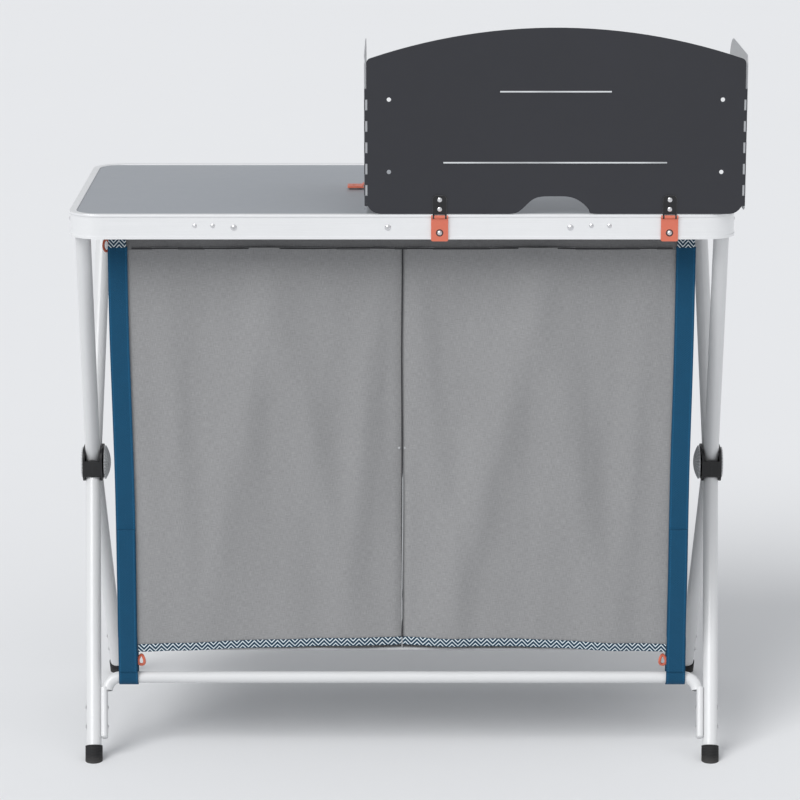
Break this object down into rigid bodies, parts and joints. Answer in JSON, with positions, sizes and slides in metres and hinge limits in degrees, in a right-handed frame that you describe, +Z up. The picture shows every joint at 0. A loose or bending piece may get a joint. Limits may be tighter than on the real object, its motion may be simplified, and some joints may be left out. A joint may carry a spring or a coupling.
{
  "type": "folding camp kitchen table",
  "caption": "Folding camp kitchen table: framed worktop with a fold-in metal wind screen, X-shaped legs with hinged hubs, crossbars and an open-backed fabric storage cabinet.",
  "frame": {"origin": "on the floor, under the middle of the worktop", "axes": "+X to the right along the worktop, +Y to the open side of the cabinet, +Z up"},
  "size_m": [0.9638, 0.4707, 1.0719],
  "materials": {
    "laminate": "matt laminate, blue-grey",
    "rim_aluminium": "satin anodised",
    "rivet_metal": "satin",
    "screw_steel": "bright",
    "bracket_black": "satin black",
    "leg_white": "satin white",
    "bar_white": "satin white",
    "foot_rubber": "matt black",
    "hub_black": "fine grained",
    "hub_cap_grey": "satin light grey",
    "screen_charcoal": "satin charcoal",
    "screen_pin": "bright",
    "tab_orange": "satin coral orange",
    "cloth_grey": "plain weave",
    "cloth_lining": "coated lining",
    "board_lining": "cloth over a stiff board",
    "hem_binding": "herringbone tape",
    "strap_blue": "webbing",
    "elastic_orange": "elastic cord"
  },
  "bodies": {
    "rear_lower_frame": {"rear_lower_leg_right": "leg_white", "rear_lower_leg_left": "leg_white", "rear_feet": "foot_rubber", "rear_crossbar": "bar_white", "rear_crossbar_rivets": "rivet_metal", "cabinet_closed_panel": "cloth_grey", "cabinet_divider": "cloth_lining", "cabinet_floor": "board_lining", "cabinet_hem_binding": "hem_binding", "cabinet_shelves": "board_lining", "cabinet_side_left": "cloth_lining", "cabinet_side_right": "cloth_lining", "cabinet_top_band": "cloth_grey", "front_corner_straps": "strap_blue", "rear_corner_straps": "strap_blue", "hem_elastics": "elastic_orange", "top_corner_tie": "elastic_orange"},
    "hubs": {"hub_centre_bolts": "screw_steel", "hub_inner_caps": "hub_cap_grey", "hub_inner_shell_left": "hub_black", "hub_inner_shell_right": "hub_black", "hub_outer_caps": "hub_cap_grey", "hub_outer_shell_left": "hub_black", "hub_outer_shell_right": "hub_black", "hub_pins": "screw_steel"},
    "front_upper_legs": {"front_upper_leg_right": "leg_white", "front_upper_leg_left": "leg_white"},
    "rear_upper_legs": {"rear_upper_leg_right": "leg_white", "rear_upper_leg_left": "leg_white"},
    "front_lower_frame": {"front_lower_leg_right": "leg_white", "front_lower_leg_left": "leg_white", "front_feet": "foot_rubber", "front_crossbar": "bar_white", "front_crossbar_rivets": "rivet_metal"},
    "wing_left": {"screen_wing_left": "screen_charcoal", "wing_tab_bracket_left": "bracket_black", "wing_tab_fasteners_left": "rivet_metal"},
    "wing_right": {"screen_wing_right": "screen_charcoal", "wing_tab_bracket_right": "bracket_black", "wing_tab_fasteners_right": "rivet_metal"},
    "wing_tab_left": {"wing_tab_left": "tab_orange"},
    "wing_tab_right": {"wing_tab_right": "tab_orange"},
    "worktop": {"cross_rails": "rim_aluminium", "edge_screws": "screw_steel", "front_leg_brackets": "bracket_black", "front_leg_pivot_pins": "screw_steel", "front_tab_brackets": "bracket_black", "front_tab_pins": "screen_pin", "front_tab_rivets": "rivet_metal", "front_tab_screws": "screw_steel", "front_tabs": "tab_orange", "leg_bracket_rivets": "rivet_metal", "rail_end_plates": "rivet_metal", "rail_rivets": "rivet_metal", "rear_leg_saddles": "bracket_black", "screen_back_panel": "screen_charcoal", "screen_hinge_pins": "screen_pin", "worktop_edge_frame": "rim_aluminium", "worktop_panel": "laminate"}
  },
  "joints": [
    {"name": "fold", "type": "hinge", "parent": "rear_lower_frame", "child": "hubs", "pos_m": [0, 0.013, 0.382], "axis": [1, 0, 0], "range_deg": [0, 24], "deforming": ["cabinet_closed_panel", "cabinet_divider", "cabinet_floor", "cabinet_hem_binding", "cabinet_shelves", "cabinet_side_left", "cabinet_side_right", "cabinet_top_band", "front_corner_straps", "rear_corner_straps", "hem_elastics", "top_corner_tie"]},
    {"name": "front_upper_fold", "type": "hinge", "parent": "hubs", "child": "front_upper_legs", "pos_m": [0, -0.013, 0.41], "axis": [1, 0, 0], "range_deg": [-24, 0]},
    {"name": "rear_upper_fold", "type": "hinge", "parent": "hubs", "child": "rear_upper_legs", "pos_m": [0, 0.013, 0.41], "axis": [1, 0, 0], "range_deg": [0, 24]},
    {"name": "front_lower_fold", "type": "hinge", "parent": "hubs", "child": "front_lower_frame", "pos_m": [0, -0.013, 0.382], "axis": [1, 0, 0], "range_deg": [0, 24]},
    {"name": "worktop_tilt", "type": "hinge", "parent": "front_upper_legs", "child": "worktop", "pos_m": [0, -0.188, 0.784], "axis": [1, 0, 0], "range_deg": [0, 30]},
    {"name": "wing_left_fold", "type": "hinge", "parent": "worktop", "child": "wing_left", "pos_m": [-0.05, -0.2292, 0.92], "axis": [0, 0, -1], "range_deg": [0, 90]},
    {"name": "wing_right_fold", "type": "hinge", "parent": "worktop", "child": "wing_right", "pos_m": [0.477, -0.2292, 0.92], "axis": [0, 0, 1], "range_deg": [0, 90]},
    {"name": "wing_tab_left_swing", "type": "hinge", "parent": "wing_left", "child": "wing_tab_left", "pos_m": [-0.0559, 0.002, 0.8138], "axis": [0, 1, 0], "range_deg": [0, 90]},
    {"name": "wing_tab_right_swing", "type": "hinge", "parent": "wing_right", "child": "wing_tab_right", "pos_m": [0.4829, 0.002, 0.8138], "axis": [0, 1, 0], "range_deg": [0, 90]}
  ],
  "couplings": [
    {"joint": "front_upper_fold", "follows": "fold", "ratio": -1},
    {"joint": "rear_upper_fold", "follows": "fold", "ratio": 1},
    {"joint": "front_lower_fold", "follows": "fold", "ratio": 1},
    {"joint": "worktop_tilt", "follows": "fold", "ratio": 1.25}
  ]
}
